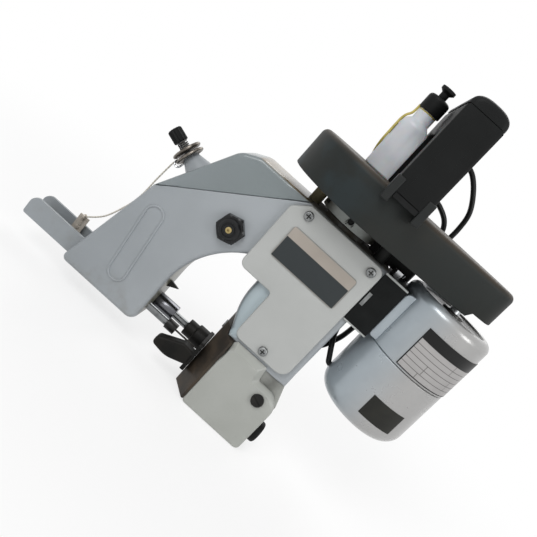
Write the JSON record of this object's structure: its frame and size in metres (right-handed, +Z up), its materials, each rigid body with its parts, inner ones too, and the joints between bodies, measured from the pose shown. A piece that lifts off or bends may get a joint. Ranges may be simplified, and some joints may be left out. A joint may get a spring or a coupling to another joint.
{
  "type": "bag closer sewing machine",
  "caption": "Hand-held bag closer: an arched sewing head over a looper foot, with a side motor, a belt cover, a grip with a trigger switch and an oil pump bottle.",
  "frame": {"origin": "middle of the looper housing's underside, on the surface that it stands on", "axes": "+Z up, +X from the sewing arm towards the motor, +Y away from the plated front"},
  "size_m": [0.3387, 0.1378, 0.3079],
  "materials": {
    "grey_paint": "satin enamel on a casting",
    "dark_paint": "satin enamel",
    "pale_paint": "satin enamel",
    "black_metal": "blackened steel",
    "black_plastic": "moulded, matt",
    "rubber": "matt rubber",
    "lead_jacket": "smooth cable jacket",
    "steel": "machined steel",
    "bright_steel": "plated, polished",
    "brass": "turned brass",
    "motor_paint": "glossy silver enamel",
    "winding": "laminations and varnished winding",
    "nameplate": "two blank fields, black and cream",
    "rating_plate": "blank ruled label",
    "bottle": "translucent moulded bottle",
    "oil_tube": "clear yellowed tube",
    "thread": "twisted cotton thread"
  },
  "bodies": {
    "frame": {"frame_casting": "grey_paint", "rear_cover": "grey_paint", "needle_guard": "grey_paint", "tension_post": "grey_paint", "arm_top_cover": "dark_paint", "side_plate": "pale_paint", "looper_housing": "pale_paint", "looper_cover": "pale_paint", "throat_plate": "black_metal", "pivot_nut": "black_metal", "looper_pin": "black_metal", "thread_knife": "black_metal", "motor_bracket": "black_metal", "belt_cover": "black_plastic", "belt_cover_base": "black_plastic", "handle_posts": "black_plastic", "handle_body": "black_plastic", "handle_cap": "black_plastic", "switch_body": "black_plastic", "mains_gland": "black_plastic", "pump_head": "black_plastic", "bottle_clip": "black_plastic", "rubber_bumper": "rubber", "drive_belt": "rubber", "switch_lead": "lead_jacket", "motor_lead": "lead_jacket", "cover_screws": "steel", "rocker_shaft": "steel", "main_bearings": "steel", "bracket_bolts": "steel", "tension_discs": "steel", "presser_spring": "steel", "tension_spring": "steel", "bar_bushing": "bright_steel", "thread_guide": "bright_steel", "oil_plug": "brass", "motor_housing": "motor_paint", "motor_end_cap": "motor_paint", "motor_stator": "winding", "nameplate": "nameplate", "rating_plate": "rating_plate", "oil_bottle": "bottle", "oil_tube": "oil_tube", "needle_thread": "thread"},
    "main_shaft": {"main_shaft": "steel", "machine_pulley": "steel"},
    "motor_rotor": {"motor_armature": "steel", "motor_pulley": "steel"},
    "rocker": {"rocker_lever": "steel"},
    "rod": {"connecting_rod": "steel"},
    "needle_unit": {"needle_bar": "bright_steel", "needle_clamp": "black_metal", "needle": "steel"},
    "looper_arm": {"looper": "steel"},
    "feed": {"feed_dog": "steel"},
    "presser": {"presser_bar": "bright_steel", "presser_foot": "black_metal"},
    "trigger": {"switch_trigger": "black_plastic"},
    "pump": {"pump_button": "black_plastic"},
    "tension_nut": {"tension_knob": "black_plastic"}
  },
  "joints": [
    {"name": "main_shaft_spin", "type": "hinge", "parent": "frame", "child": "main_shaft", "pos_m": [-0.026, 0, 0.15], "axis": [0, 0, 1], "continuous": true},
    {"name": "motor_spin", "type": "hinge", "parent": "frame", "child": "motor_rotor", "pos_m": [0.078, 0, 0.15], "axis": [0, 0, 1], "continuous": true},
    {"name": "rocker_swing", "type": "hinge", "parent": "frame", "child": "rocker", "pos_m": [-0.0875, 0, 0.127], "axis": [0, -1, 0], "range_deg": [0, 9.11]},
    {"name": "rod_swing", "type": "hinge", "parent": "rocker", "child": "rod", "pos_m": [-0.08512, 0, 0.15691], "axis": [0, -1, 0], "range_deg": [-9.12, 0]},
    {"name": "needle_slide", "type": "slide", "parent": "frame", "child": "needle_unit", "axis": [1, 0, 0], "range_m": [0, 0.0201]},
    {"name": "looper_swing", "type": "hinge", "parent": "frame", "child": "looper_arm", "pos_m": [0.014, 0, 0.043], "axis": [0, 1, 0], "range_deg": [0, 8.1]},
    {"name": "feed_slide", "type": "slide", "parent": "frame", "child": "feed", "axis": [0, 1, 0], "range_m": [0, 0.0081]},
    {"name": "presser_lift", "type": "slide", "parent": "frame", "child": "presser", "axis": [-1, 0, 0], "range_m": [0, 0.008], "stiffness_N_per_m": 1500, "springref_m": -0.002, "deforming": ["presser_spring"]},
    {"name": "trigger_press", "type": "slide", "parent": "frame", "child": "trigger", "axis": [0, 0, 1], "range_m": [0, 0.004], "stiffness_N_per_m": 800},
    {"name": "pump_press", "type": "slide", "parent": "frame", "child": "pump", "axis": [0, 0, -1], "range_m": [0, 0.004], "stiffness_N_per_m": 800, "springref_m": -0.001},
    {"name": "tension_turn", "type": "hinge", "parent": "frame", "child": "tension_nut", "pos_m": [-0.1528, 0, 0.1428], "axis": [-0.9537, 0, 0.3007], "range_deg": [-360, 360]}
  ],
  "couplings": [
    {"joint": "motor_spin", "follows": "main_shaft_spin", "ratio": 4.5454},
    {"joint": "rod_swing", "follows": "rocker_swing", "ratio": -1},
    {"joint": "needle_slide", "follows": "rocker_swing", "m_per_rad": 0.12581},
    {"joint": "looper_swing", "follows": "rocker_swing", "ratio": 0.87829},
    {"joint": "feed_slide", "follows": "rocker_swing", "m_per_rad": 0.05032}
  ]
}
